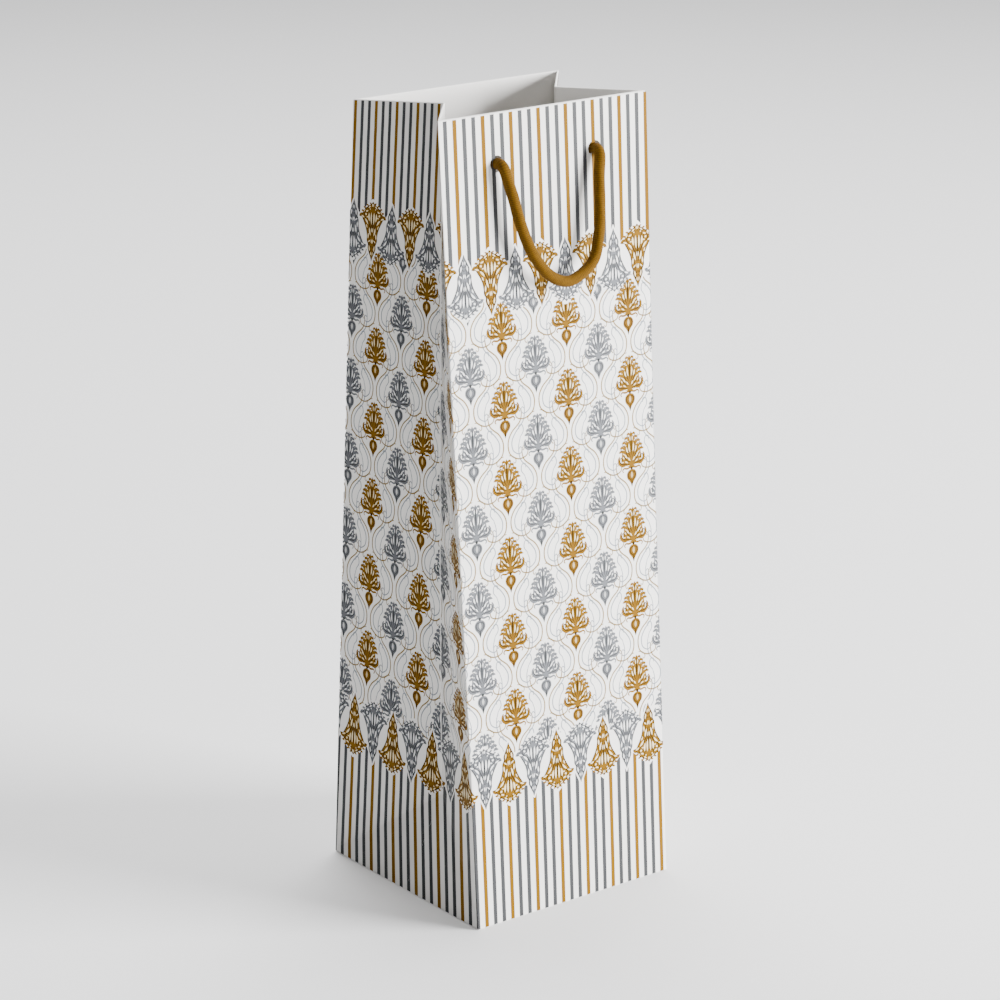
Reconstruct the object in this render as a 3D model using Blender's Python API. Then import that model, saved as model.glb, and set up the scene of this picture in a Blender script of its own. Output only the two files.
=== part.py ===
"""Tall paper gift bag for one bottle: folded sheet, card stiffeners, rope handles, loose base card.

The bag stands on its flat bottom at the origin, +Z up. The front panel faces -Y and X runs across it.
Distances are metres.
"""
import math

import bmesh
import bpy
from mathutils import Vector

# Outside of the standing bag. The gussets are tucked in, so the mouth is shallower than the base.
BASE_WIDTH = 0.108
BASE_DEPTH = 0.1095
MOUTH_WIDTH = 0.112
MOUTH_DEPTH = 0.0607
HEIGHT = 0.356
GUSSET_TUCK = 0.0255
APEX_INSET = 0.021
APEX_HEIGHT = 0.0416

# Sheet and card, and the gap that every pair of touching plies keeps.
PAPER = 0.0004
CARD = 0.001
GAP = 0.0003
FOLD_MARGIN = 0.0018
CREASE_MARGIN = 0.00035
DIAGONAL_MARGIN = 0.0008

# Turned-over top, and the card strip inside it.
HEM_DROP = 0.040
STRIP_DROP = 0.036
STRIP_WIDTH = 0.098
HEM_WIDTH = 0.1022

# Punched holes and the rope through them.
HOLE_SPACING = 0.0526
HOLE_HEIGHT = 0.3346
HOLE_DIAMETER = 0.007
ROPE_DIAMETER = 0.005
PIVOT_OUT = 0.0042
KNOT_RADIUS = 0.006
KNOT_LENGTH = 0.012
TAIL_LENGTH = 0.008

# Bottom.
FLAP_REACH = 0.074
SIDE_FLAP_REACH = 0.040
BOARD_WIDTH = 0.100
BOARD_DEPTH = 0.103

# Route of a handle from its left hole to its right: across, out from the panel, height.
HANDLE_ROUTE = (
    (-0.0263, 0.0043, 0.3318),
    (-0.0250, 0.0050, 0.3282),
    (-0.0230, 0.0065, 0.3196),
    (-0.0212, 0.0075, 0.3105),
    (-0.0185, 0.0080, 0.3024),
    (-0.0152, 0.0085, 0.2951),
    (-0.0102, 0.0090, 0.2880),
    (-0.0046, 0.0093, 0.2835),
    (0.0004, 0.0095, 0.2818),
    (0.0040, 0.0095, 0.2818),
    (0.0106, 0.0093, 0.2842),
    (0.0171, 0.0089, 0.2891),
    (0.0202, 0.0085, 0.2983),
    (0.0217, 0.0080, 0.3071),
    (0.0227, 0.0070, 0.3162),
    (0.0243, 0.0056, 0.3250),
    (0.0257, 0.0047, 0.3290),
    (0.0263, 0.0043, 0.3318),
)
ROUTE_POINTS = 34

LEAN = math.atan2((BASE_DEPTH - MOUTH_DEPTH) / 2, HEIGHT)


def make_material(name, colour, roughness, metallic=0.0):
    material = bpy.data.materials.new(name)
    material.use_nodes = True
    shader = material.node_tree.nodes["Principled BSDF"]
    shader.inputs["Base Color"].default_value = (*colour, 1.0)
    shader.inputs["Roughness"].default_value = roughness
    shader.inputs["Metallic"].default_value = metallic
    material.diffuse_color = (*colour, 1.0)
    return material


def add_object(name, mesh, material, location=(0, 0, 0)):
    item = bpy.data.objects.new(name, mesh)
    item.location = location
    item.data.materials.append(material)
    bpy.context.scene.collection.objects.link(item)
    return item


def finish_mesh(name, bm):
    bmesh.ops.recalc_face_normals(bm, faces=bm.faces)
    mesh = bpy.data.meshes.new(name)
    bm.to_mesh(mesh)
    bm.free()
    return mesh


def plate_mesh(name, outline, shift):
    """Closed plate: a flat outline, and the same outline moved by shift."""
    bm = bmesh.new()
    face = bm.faces.new([bm.verts.new(point) for point in outline])
    made = bmesh.ops.extrude_face_region(bm, geom=[face])
    moved = [part for part in made["geom"] if isinstance(part, bmesh.types.BMVert)]
    bmesh.ops.translate(bm, vec=shift, verts=moved)
    return finish_mesh(name, bm)


def panel_y(height):
    """Distance of the outer face of a broad panel from the middle plane."""
    return BASE_DEPTH / 2 - (BASE_DEPTH - MOUTH_DEPTH) / 2 * height / HEIGHT


def panel_half_width(height):
    return BASE_WIDTH / 2 + (MOUTH_WIDTH - BASE_WIDTH) / 2 * height / HEIGHT


def broad_plate(name, material, side, low, high, half_low, half_high, depth, thickness):
    """Plate parallel to a broad panel. side is -1 at the front, depth is how far inside the outer face."""
    level = 1 / math.cos(LEAN)
    outline = []
    for across, height in ((-half_low, low), (half_low, low), (half_high, high), (-half_high, high)):
        outline.append(Vector((across, side * (panel_y(height) - depth * level), height)))
    mesh = plate_mesh(name, outline, Vector((0, -side * thickness * level, 0)))
    return add_object(name, mesh, material)


def gusset_corners(side, facing):
    """Corners of one gusset half: base corner, apex, crease at the mouth, corner at the mouth."""
    base = Vector((side * BASE_WIDTH / 2, facing * BASE_DEPTH / 2, 0))
    apex = Vector((side * (BASE_WIDTH / 2 - APEX_INSET), 0, APEX_HEIGHT))
    crease = Vector((side * (MOUTH_WIDTH / 2 - GUSSET_TUCK), 0, HEIGHT))
    mouth = Vector((side * MOUTH_WIDTH / 2, facing * MOUTH_DEPTH / 2, HEIGHT))
    return base, apex, crease, mouth


def gusset_point(corners, across, up):
    base, apex, crease, mouth = corners
    return base.lerp(apex, across).lerp(mouth.lerp(crease, across), up)


def gusset_plate(name, material, side, facing, low, high, depth, thickness, fold_margin, rows):
    """Slightly twisted plate that follows one gusset half between two heights along its edges."""
    corners = gusset_corners(side, facing)
    bm = bmesh.new()
    columns = 5
    layers = []
    for inset in (depth, depth + thickness):
        grid = []
        for row in range(rows + 1):
            up = low + (high - low) * row / rows
            fold_end = gusset_point(corners, 0, up)
            crease_end = gusset_point(corners, 1, up)
            width = (crease_end - fold_end).length
            line = []
            for column in range(columns + 1):
                reach = fold_margin + (width - fold_margin - CREASE_MARGIN) * column / columns
                across = reach / width
                along = crease_end - fold_end
                rise = gusset_point(corners, across, 1) - gusset_point(corners, across, 0)
                inward = along.cross(rise)
                if inward.x * side > 0:
                    inward.negate()
                inward.normalize()
                level = Vector((inward.x, inward.y, 0)) / (inward.x ** 2 + inward.y ** 2)
                line.append(bm.verts.new(fold_end + along * across + level * inset))
            grid.append(line)
        layers.append(grid)
    outer, inner = layers
    for row in range(rows):
        for column in range(columns):
            for grid in layers:
                bm.faces.new((grid[row][column], grid[row][column + 1],
                              grid[row + 1][column + 1], grid[row + 1][column]))
    for row in range(rows):
        for column in (0, columns):
            bm.faces.new((outer[row][column], outer[row + 1][column],
                          inner[row + 1][column], inner[row][column]))
    for column in range(columns):
        for row in (0, rows):
            bm.faces.new((outer[row][column], outer[row][column + 1],
                          inner[row][column + 1], inner[row][column]))
    bmesh.ops.triangulate(bm, faces=bm.faces)
    return add_object(name, finish_mesh(name, bm), material)


def gusset_triangle(name, material, side):
    """Bottom triangle of a gusset, from the base edge up to the apex of the creases."""
    base_front, apex, _, _ = gusset_corners(side, -1)
    base_rear = gusset_corners(side, 1)[0]
    middle = (base_front + base_rear + apex) / 3
    length = (apex - (base_front + base_rear) / 2).length
    slope = APEX_INSET / length
    half_angle = math.atan2(BASE_DEPTH / 2, length)
    foot = 0.0002 / (APEX_HEIGHT / length)
    reach_side = DIAGONAL_MARGIN / math.sin(half_angle)
    top = apex + (middle - apex).normalized() * reach_side
    spread = BASE_DEPTH / 2 - DIAGONAL_MARGIN / math.cos(half_angle) - foot * math.tan(half_angle)
    foot_x = side * (BASE_WIDTH / 2 - foot * slope)
    foot_z = foot * APEX_HEIGHT / length
    outline = [Vector((foot_x, -spread, foot_z)), Vector((foot_x, spread, foot_z)), top]
    thickness = PAPER * length / APEX_HEIGHT
    return add_object(name, plate_mesh(name, outline, Vector((-side * thickness, 0, 0))), material)


def smooth_route(points, count):
    """Evenly spaced points on a smooth curve through the given ones."""
    knots = [Vector(point) for point in points]
    knots = [knots[0] * 2 - knots[1]] + knots + [knots[-1] * 2 - knots[-2]]
    dense = []
    for index in range(1, len(knots) - 2):
        before, start, end, after = knots[index - 1:index + 3]
        for step in range(20):
            t = step / 20
            dense.append(0.5 * (2 * start + (end - before) * t
                                + (2 * before - 5 * start + 4 * end - after) * t * t
                                + (3 * start - before - 3 * end + after) * t ** 3))
    dense.append(knots[-2])
    lengths = [0.0]
    for first, second in zip(dense, dense[1:]):
        lengths.append(lengths[-1] + (second - first).length)
    route = []
    place = 0
    for index in range(count):
        wanted = lengths[-1] * index / (count - 1)
        while place < len(dense) - 2 and lengths[place + 1] < wanted:
            place += 1
        share = (wanted - lengths[place]) / (lengths[place + 1] - lengths[place])
        route.append(dense[place].lerp(dense[place + 1], min(max(share, 0.0), 1.0)))
    return route


def outward(side):
    """Unit normal of the outer face of a broad panel."""
    return Vector((0, side * math.cos(LEAN), math.sin(LEAN)))


def off_panel(side, across, out, height):
    """Point a given distance out from a broad panel."""
    return Vector((across, side * panel_y(height), height)) + outward(side) * out


def handle_pivot(side):
    return off_panel(side, 0, PIVOT_OUT, HOLE_HEIGHT)


def rope_handle(name, material, side):
    """Moving loop of a rope handle, with its origin on the line between its two bends."""
    pivot = handle_pivot(side)
    route = [off_panel(side, *point) - pivot for point in HANDLE_ROUTE]
    curve = bpy.data.curves.new(name, "CURVE")
    curve.dimensions = "3D"
    curve.bevel_depth = ROPE_DIAMETER / 2
    curve.bevel_resolution = 3
    curve.use_fill_caps = True
    spline = curve.splines.new("POLY")
    points = smooth_route(route, ROUTE_POINTS)
    spline.points.add(len(points) - 1)
    for target, point in zip(spline.points, points):
        target.co = (*point, 1.0)
    return add_object(name, curve, material, pivot)


def rope_knot(name, material, side, across, inner_depth):
    """Rope end: a rounded nose on the pivot line, the shank through the hole, the knot and its tail."""
    radius = ROPE_DIAMETER / 2
    profile = [(radius * math.cos(math.radians(angle)), radius * math.sin(math.radians(angle)))
               for angle in range(90, -1, -15)]
    knot_start = -(PIVOT_OUT + inner_depth + GAP)
    knot_middle = knot_start - KNOT_LENGTH / 2
    rise = math.degrees(math.asin(radius / KNOT_RADIUS))
    steps = 12
    for step in range(steps + 1):
        angle = math.radians(rise + (180 - 2 * rise) * step / steps)
        place = knot_middle + KNOT_LENGTH / 2 * math.cos(angle) / math.cos(math.radians(rise))
        profile.append((KNOT_RADIUS * math.sin(angle), place))
    profile.append((radius, knot_start - KNOT_LENGTH - TAIL_LENGTH))
    bm = bmesh.new()
    tip = bm.verts.new((0, 0, profile[0][1]))
    end = bm.verts.new((0, 0, profile[-1][1]))
    sides = 20
    rings = []
    for reach, place in profile[1:]:
        rings.append([bm.verts.new((reach * math.cos(math.tau * turn / sides),
                                    reach * math.sin(math.tau * turn / sides), place))
                      for turn in range(sides)])
    for turn in range(sides):
        following = (turn + 1) % sides
        bm.faces.new((tip, rings[0][turn], rings[0][following]))
        bm.faces.new((end, rings[-1][turn], rings[-1][following]))
        for first, second in zip(rings, rings[1:]):
            bm.faces.new((first[turn], first[following], second[following], second[turn]))
    item = add_object(name, finish_mesh(name, bm), material,
                      handle_pivot(side) + Vector((across, 0, 0)))
    item.rotation_euler = outward(side).to_track_quat("Z", "Y").to_euler()
    item.data.shade_smooth()
    return item


def hole_cutter():
    """Round bars along the four holes."""
    bm = bmesh.new()
    for side in (-1, 1):
        for across in (-HOLE_SPACING / 2, HOLE_SPACING / 2):
            turn = outward(side).to_track_quat("Z", "Y").to_matrix().to_4x4()
            turn.translation = off_panel(side, across, -0.001, HOLE_HEIGHT)
            bmesh.ops.create_cone(bm, cap_ends=True, segments=32, radius1=HOLE_DIAMETER / 2,
                                  radius2=HOLE_DIAMETER / 2, depth=0.010, matrix=turn)
    mesh = finish_mesh("hole_cutter", bm)
    item = bpy.data.objects.new("hole_cutter", mesh)
    bpy.context.scene.collection.objects.link(item)
    item.hide_render = True
    item.display_type = "WIRE"
    return item


def punch(item, cutter):
    cut = item.modifiers.new("punched holes", "BOOLEAN")
    cut.operation = "DIFFERENCE"
    cut.solver = "EXACT"
    cut.object = cutter


def flap(name, material, outline, level):
    """Flat bottom flap at its own level in the glued stack."""
    points = [Vector((x, y, level)) for x, y in outline]
    return add_object(name, plate_mesh(name, points, Vector((0, 0, PAPER))), material)


for old in list(bpy.data.objects):
    bpy.data.objects.remove(old)

printed = make_material("printed_paper", (0.80, 0.79, 0.76), 0.42)
plain = make_material("plain_paper", (0.86, 0.85, 0.83), 0.75)
card = make_material("card", (0.72, 0.69, 0.63), 0.9)
rope = make_material("rope", (0.33, 0.14, 0.012), 0.7)

cutter = hole_cutter()
strip_depth = PAPER + GAP
hem_depth = strip_depth + CARD + GAP
hem_inside = hem_depth + PAPER

for side, label in ((-1, "front"), (1, "back")):
    low_half = BASE_WIDTH / 2
    high_half = MOUTH_WIDTH / 2
    panel = broad_plate(label + "_panel", printed, side, 0, HEIGHT, low_half, high_half, 0, PAPER)
    strip = broad_plate(label + "_strip", card, side, HEIGHT - STRIP_DROP, HEIGHT - 0.0005,
                        STRIP_WIDTH / 2, STRIP_WIDTH / 2, strip_depth, CARD)
    hem = broad_plate(label + "_hem", plain, side, HEIGHT - HEM_DROP, HEIGHT,
                      HEM_WIDTH / 2, HEM_WIDTH / 2, hem_depth, PAPER)
    for plate in (panel, strip, hem):
        punch(plate, cutter)
    rope_handle(label + "_handle", rope, side)
    for across, hand in ((-1, "left"), (1, "right")):
        rope_knot(label + "_knot_" + hand, rope, side, across * HOLE_SPACING / 2, hem_inside)

hem_share = HEM_DROP / HEIGHT
for side, hand in ((-1, "left"), (1, "right")):
    for facing, half in ((-1, "front"), (1, "rear")):
        gusset_plate(hand + "_gusset_" + half, printed, side, facing, 0.0022, 1, 0, PAPER,
                     FOLD_MARGIN, 12)
        gusset_plate(hand + "_hem_" + half, plain, side, facing, 1 - hem_share, 1, PAPER + GAP, PAPER,
                     FOLD_MARGIN + 0.0012, 3)
    gusset_triangle(hand + "_gusset_triangle", printed, side)

inner_half = BASE_WIDTH / 2 - 0.0015
start = BASE_DEPTH / 2 - PAPER - 2 * GAP
cut_corner = 0.030
for side, label, level in ((-1, "front", 0.0), (1, "back", PAPER + GAP)):
    end = start - FLAP_REACH
    corner = start - FLAP_REACH + cut_corner * 0.4
    outline = [(-inner_half, side * start), (inner_half, side * start), (inner_half, side * corner),
               (inner_half - cut_corner * 0.4, side * end), (-inner_half + cut_corner * 0.4, side * end),
               (-inner_half, side * corner)]
    flap("bottom_flap_" + label, printed, outline, level)

side_start = BASE_WIDTH / 2 - 0.0018
for side, hand in ((-1, "left"), (1, "right")):
    reach = side_start - SIDE_FLAP_REACH
    outline = [(side * side_start, -0.0525), (side * side_start, 0.0525),
               (side * reach, 0.0525 - SIDE_FLAP_REACH), (side * reach, SIDE_FLAP_REACH - 0.0525)]
    flap("bottom_flap_" + hand, printed, outline, 2 * (PAPER + GAP))

board_level = 3 * (PAPER + GAP)
board = flap("base_board", card, [(-BOARD_WIDTH / 2, -BOARD_DEPTH / 2), (BOARD_WIDTH / 2, -BOARD_DEPTH / 2),
                                  (BOARD_WIDTH / 2, BOARD_DEPTH / 2), (-BOARD_WIDTH / 2, BOARD_DEPTH / 2)], 0)
for corner in board.data.vertices:
    corner.co.z *= CARD / PAPER
board.location.z = board_level

# The glued flap of the long seam lies inside the back panel, along its left fold.
seam = [(-panel_half_width(0.006) + 0.0024, 0.006), (-0.036, 0.012), (-0.036, 0.310),
        (-panel_half_width(0.314) + 0.0024, 0.314)]
level = 1 / math.cos(LEAN)
seam_outline = [Vector((across, panel_y(height) - (PAPER + GAP) * level, height)) for across, height in seam]
add_object("side_seam_flap", plate_mesh("side_seam_flap", seam_outline, Vector((0, -PAPER * level, 0))), plain)
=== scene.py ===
import math

import bmesh
import bpy
import numpy as np
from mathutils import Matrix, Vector


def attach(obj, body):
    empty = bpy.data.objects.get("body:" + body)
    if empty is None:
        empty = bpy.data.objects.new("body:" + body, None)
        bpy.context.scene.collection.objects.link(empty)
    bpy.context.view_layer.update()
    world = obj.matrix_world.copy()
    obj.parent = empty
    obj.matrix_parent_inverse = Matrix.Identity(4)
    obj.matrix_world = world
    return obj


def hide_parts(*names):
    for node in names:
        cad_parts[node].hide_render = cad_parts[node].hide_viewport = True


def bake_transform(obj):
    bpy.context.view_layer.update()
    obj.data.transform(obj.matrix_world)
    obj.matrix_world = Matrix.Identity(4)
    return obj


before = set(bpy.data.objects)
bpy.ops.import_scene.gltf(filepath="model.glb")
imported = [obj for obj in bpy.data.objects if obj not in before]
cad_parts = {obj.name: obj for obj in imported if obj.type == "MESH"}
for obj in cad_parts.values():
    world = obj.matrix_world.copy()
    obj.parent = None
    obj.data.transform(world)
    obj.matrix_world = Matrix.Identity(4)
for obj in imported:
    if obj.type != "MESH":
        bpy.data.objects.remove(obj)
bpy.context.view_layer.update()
millimetre = 0.001


def putInScene(name, data):
    item = bpy.data.objects.new(name, data)
    bpy.context.scene.collection.objects.link(item)
    return item


def coverWith(item, material):
    item.data.materials.clear()
    item.data.materials.append(material)


def addPiece(name, mesh, body="bag", material=None):
    piece = putInScene(name, mesh)
    if material is not None:
        piece.data.materials.append(material)
    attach(piece, body)
    return piece


def meshFrom(name, points, faces, smooth=True):
    mesh = bpy.data.meshes.new(name)
    mesh.from_pydata([tuple(point) for point in points], [], faces)
    mesh.update()
    if smooth:
        mesh.shade_smooth()
    return mesh


def mix(a, b, share):
    return a + (b - a) * share


cameraSettings = {
    "position": (-0.88714, -1.15755, 0.63681),
    "target": (-0.00016, 0.0, 0.17377),
    "lens": 123.95,
}


def addCamera():
    data = bpy.data.cameras.new("studioCamera")
    data.lens = cameraSettings["lens"]
    data.sensor_width = 36.0
    data.clip_start = 0.05
    data.clip_end = 50.0
    camera = putInScene("studioCamera", data)
    camera.location = cameraSettings["position"]
    aim = Vector(cameraSettings["target"]) - camera.location
    camera.rotation_euler = aim.to_track_quat("-Z", "Y").to_euler()
    bpy.context.scene.camera = camera


addCamera()
print("camera placed")


bagShape = {
    "baseWidth": 0.108,
    "baseDepth": 0.1095,
    "mouthWidth": 0.112,
    "mouthDepth": 0.0607,
    "height": 0.356,
    "gussetTuck": 0.0255,      # how far the crease sits in from the side at the mouth
    "apexInset": 0.021,        # top of the bottom triangle, in from the side
    "apexHeight": 0.0416,
    "creaseBow": 0.0012,       # the crease opens a little between its ends
    "foldBow": 0.0007,         # the right fold pulls in a little
    "panelBulge": 0.0009,      # soft pillow of the broad panels
    "paperThickness": 0.00035,
    "foldRound": 0.0008,
    "cornerTop": 0.003,        # share of the height that the round corner of the bottom takes
    "cornerFoot": 0.4,         # share of that corner below the triangle's rows
    "hemDrop": 0.0385,         # turned-over top
    "hemDepthPanel": 0.0019,   # with the card strip inside
    "hemDepthGusset": 0.0008,
}
lean = math.atan2((bagShape["baseDepth"] - bagShape["mouthDepth"]) / 2, bagShape["height"])
faceNames = ("front", "rightFront", "rightRear", "back", "leftRear", "leftFront")


def edgeLine(corner, rise):
    # upright fold at one of the four corners; rise is 0 at the bottom and 1 at the mouth
    side = -1 if "left" in corner else 1
    facing = -1 if "Front" in corner else 1
    x = side * mix(bagShape["baseWidth"], bagShape["mouthWidth"], rise) / 2
    if side > 0:
        x = x - bagShape["foldBow"] * np.sin(math.pi * np.clip(rise, 0, 1))
    y = facing * mix(bagShape["baseDepth"], bagShape["mouthDepth"], rise) / 2
    return np.stack(np.broadcast_arrays(x, y, rise * bagShape["height"]), -1)


def creaseLine(side, rise):
    # middle crease of a gusset; below 0 it runs down the bottom triangle to the base edge
    up = np.clip(rise, 0, 1)
    down = np.clip(-rise, 0, 1)
    inset = mix(bagShape["baseWidth"] / 2 - bagShape["apexInset"],
                bagShape["mouthWidth"] / 2 - bagShape["gussetTuck"], up)
    inset = inset + bagShape["creaseBow"] * np.sin(math.pi * up)
    inset = inset + bagShape["apexInset"] * down
    height = mix(bagShape["apexHeight"], bagShape["height"], up) - bagShape["apexHeight"] * down
    return np.stack(np.broadcast_arrays(side * inset, 0 * up, height), -1)


def foldRise(rise):
    # place on a corner fold that belongs to a place on the crease; the triangle's rows share the corner
    low, foot = bagShape["cornerTop"], bagShape["cornerFoot"]
    return np.where(rise < 0, low * mix(foot, 1, 1 + rise), low + (1 - low) * rise)


def faceEdges(face, rise):
    fold = foldRise(rise)
    low = np.clip(rise, 0, 1)
    lines = {
        "front": lambda: (edgeLine("leftFront", low), edgeLine("rightFront", low)),
        "rightFront": lambda: (edgeLine("rightFront", fold), creaseLine(1, rise)),
        "rightRear": lambda: (creaseLine(1, rise), edgeLine("rightRear", fold)),
        "back": lambda: (edgeLine("rightRear", low), edgeLine("leftRear", low)),
        "leftRear": lambda: (edgeLine("leftRear", fold), creaseLine(-1, rise)),
        "leftFront": lambda: (creaseLine(-1, rise), edgeLine("leftFront", fold)),
    }
    return lines[face]()


def bulge(face, across, rise):
    # outward push of a broad panel, none at its edges
    if face not in ("front", "back"):
        return np.zeros(np.broadcast(across, rise).shape + (3,))
    upright = np.sin(math.pi * np.clip(rise, 0, 1)) ** 0.8
    push = bagShape["panelBulge"] * np.sin(math.pi * across) * upright
    push = np.atleast_1d(push)
    outward = -1 if face == "front" else 1
    return np.stack([0 * push, outward * push, 0 * push], -1).reshape(np.broadcast(across, rise).shape + (3,))


def facePoint(face, across, rise):
    first, last = faceEdges(face, rise)
    across = np.asarray(across, float)
    return first + (last - first) * across[..., None] + bulge(face, across, rise)


ropeShape = {
    "diameter": 0.005,
    "spacing": 0.0526,
    "holeHeight": 0.3346,
    "strands": 3,
    "twistLength": 0.013,
    "strandRelief": 0.035,
}

# across, out from the panel, height: from inside the left hole round to inside the right one
ropeRoute = [
    (-0.0263, -0.0090, 0.3346), (-0.0263, -0.0060, 0.3346), (-0.0263, -0.0030, 0.3346),
    (-0.0263, 0.0000, 0.3347), (-0.0262, 0.0022, 0.3347), (-0.0260, 0.0040, 0.3338),
    (-0.0257, 0.0048, 0.3317), (-0.0249, 0.0053, 0.3282), (-0.0230, 0.0065, 0.3196),
    (-0.0212, 0.0075, 0.3105), (-0.0185, 0.0080, 0.3024), (-0.0152, 0.0085, 0.2951),
    (-0.0102, 0.0090, 0.2880), (-0.0046, 0.0093, 0.2835), (0.0004, 0.0095, 0.2818),
    (0.0040, 0.0095, 0.2818), (0.0106, 0.0093, 0.2842), (0.0171, 0.0089, 0.2891),
    (0.0202, 0.0085, 0.2983), (0.0217, 0.0080, 0.3071), (0.0227, 0.0070, 0.3162),
    (0.0240, 0.0056, 0.3250), (0.0252, 0.0049, 0.3300), (0.0258, 0.0044, 0.3329),
    (0.0262, 0.0026, 0.3346), (0.0263, 0.0000, 0.3347), (0.0263, -0.0030, 0.3346),
    (0.0263, -0.0060, 0.3346), (0.0263, -0.0090, 0.3346),
]


def panelFrame(side):
    # a point on the outer face at hole height, and the outward normal; side is -1 at the front
    share = ropeShape["holeHeight"] / bagShape["height"]
    y = mix(bagShape["baseDepth"], bagShape["mouthDepth"], share) / 2
    return Vector((0, side * y, ropeShape["holeHeight"])), Vector((0, side * math.cos(lean), math.sin(lean)))


def offPanel(side, across, out, height):
    share = height / bagShape["height"]
    y = mix(bagShape["baseDepth"], bagShape["mouthDepth"], share) / 2
    return Vector((across, side * y, height)) + panelFrame(side)[1] * out


def smoothLine(points, spacing):
    knots = np.array([list(point) for point in points], float)
    knots = np.vstack([2 * knots[0] - knots[1], knots, 2 * knots[-1] - knots[-2]])
    t = np.linspace(0, 1, 24, endpoint=False)[:, None]
    dense = []
    for before, start, end, after in zip(knots[:-3], knots[1:-2], knots[2:-1], knots[3:]):
        dense.append(0.5 * (2 * start + (end - before) * t
                            + (2 * before - 5 * start + 4 * end - after) * t ** 2
                            + (3 * start - before - 3 * end + after) * t ** 3))
    dense = np.vstack(dense + [knots[-2:-1]])
    length = np.concatenate([[0], np.cumsum(np.linalg.norm(np.diff(dense, axis=0), axis=1))])
    count = max(2, int(round(length[-1] / spacing)) + 1)
    places = np.linspace(0, length[-1], count)
    return np.stack([np.interp(places, length, dense[:, axis]) for axis in range(3)], 1)


def relaxed(line, passes):
    # evens out the bends without moving the ends
    line = line.copy()
    for _ in range(passes):
        line[1:-1] = 0.5 * line[1:-1] + 0.25 * (line[:-2] + line[2:])
    return line


def ropeMesh(name, line, radius, sides=24, roundEnds=True):
    # twisted tube along a line, with a UV map that runs along and around it
    tangents = np.gradient(line, axis=0)
    tangents /= np.linalg.norm(tangents, axis=1)[:, None]
    lengths = np.concatenate([[0], np.cumsum(np.linalg.norm(np.diff(line, axis=0), axis=1))])
    side = np.cross(tangents[0], [0, 0, 1])
    if np.linalg.norm(side) < 0.1:
        side = np.cross(tangents[0], [0, 1, 0])
    side /= np.linalg.norm(side)
    rings = []
    for place, tangent in enumerate(tangents):
        side = side - tangent * (side @ tangent)
        side /= np.linalg.norm(side)
        up = np.cross(tangent, side)
        angles = np.linspace(0, math.tau, sides, endpoint=False)
        strand = ropeShape["strands"] * (angles + math.tau * lengths[place] / ropeShape["twistLength"] / 3)
        reach = radius * (1 - ropeShape["strandRelief"] * (0.5 - 0.5 * np.cos(strand)))
        fromEnd = min(lengths[place], lengths[-1] - lengths[place])
        if roundEnds and fromEnd < radius:
            reach = reach * math.sqrt(max(0.05, 1 - (1 - fromEnd / radius) ** 2))
        spokes = np.cos(angles)[:, None] * side + np.sin(angles)[:, None] * up
        rings.append(line[place] + reach[:, None] * spokes)
    points = np.vstack(rings + [line[:1], line[-1:]])
    count = len(line)
    faces = []
    for ring in range(count - 1):
        for turn in range(sides):
            after = (turn + 1) % sides
            low, high = ring * sides, (ring + 1) * sides
            faces.append((low + turn, low + after, high + after, high + turn))
    for turn in range(sides):
        after = (turn + 1) % sides
        faces.append((count * sides, after, turn))
        faces.append((count * sides + 1, (count - 1) * sides + turn, (count - 1) * sides + after))
    mesh = meshFrom(name, points, faces)
    uvs = mesh.uv_layers.new(name="ropeLength")
    for polygon in mesh.polygons:
        turns = [mesh.loops[loop].vertex_index % sides for loop in polygon.loop_indices]
        wraps = max(turns) - min(turns) > 1
        for loop in polygon.loop_indices:
            vertex = mesh.loops[loop].vertex_index
            if vertex >= count * sides:
                uvs.data[loop].uv = (0.5, lengths[-1 if vertex > count * sides else 0] / 0.01)
                continue
            turn = vertex % sides
            if wraps and turn == 0:
                turn = sides
            uvs.data[loop].uv = (turn / sides, lengths[vertex // sides] / 0.01)
    return mesh


def makeRope(label, side):
    route = [offPanel(side, *point) for point in ropeRoute]
    line = relaxed(smoothLine(route, 0.0004), 30)
    rope = putInScene(label + "Rope", ropeMesh(label + "Rope", line, ropeShape["diameter"] / 2))
    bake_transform(rope)
    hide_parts(label + "_handle")
    return rope


ropes = [makeRope("front", -1), makeRope("back", 1)]
print("ropes made")


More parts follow.
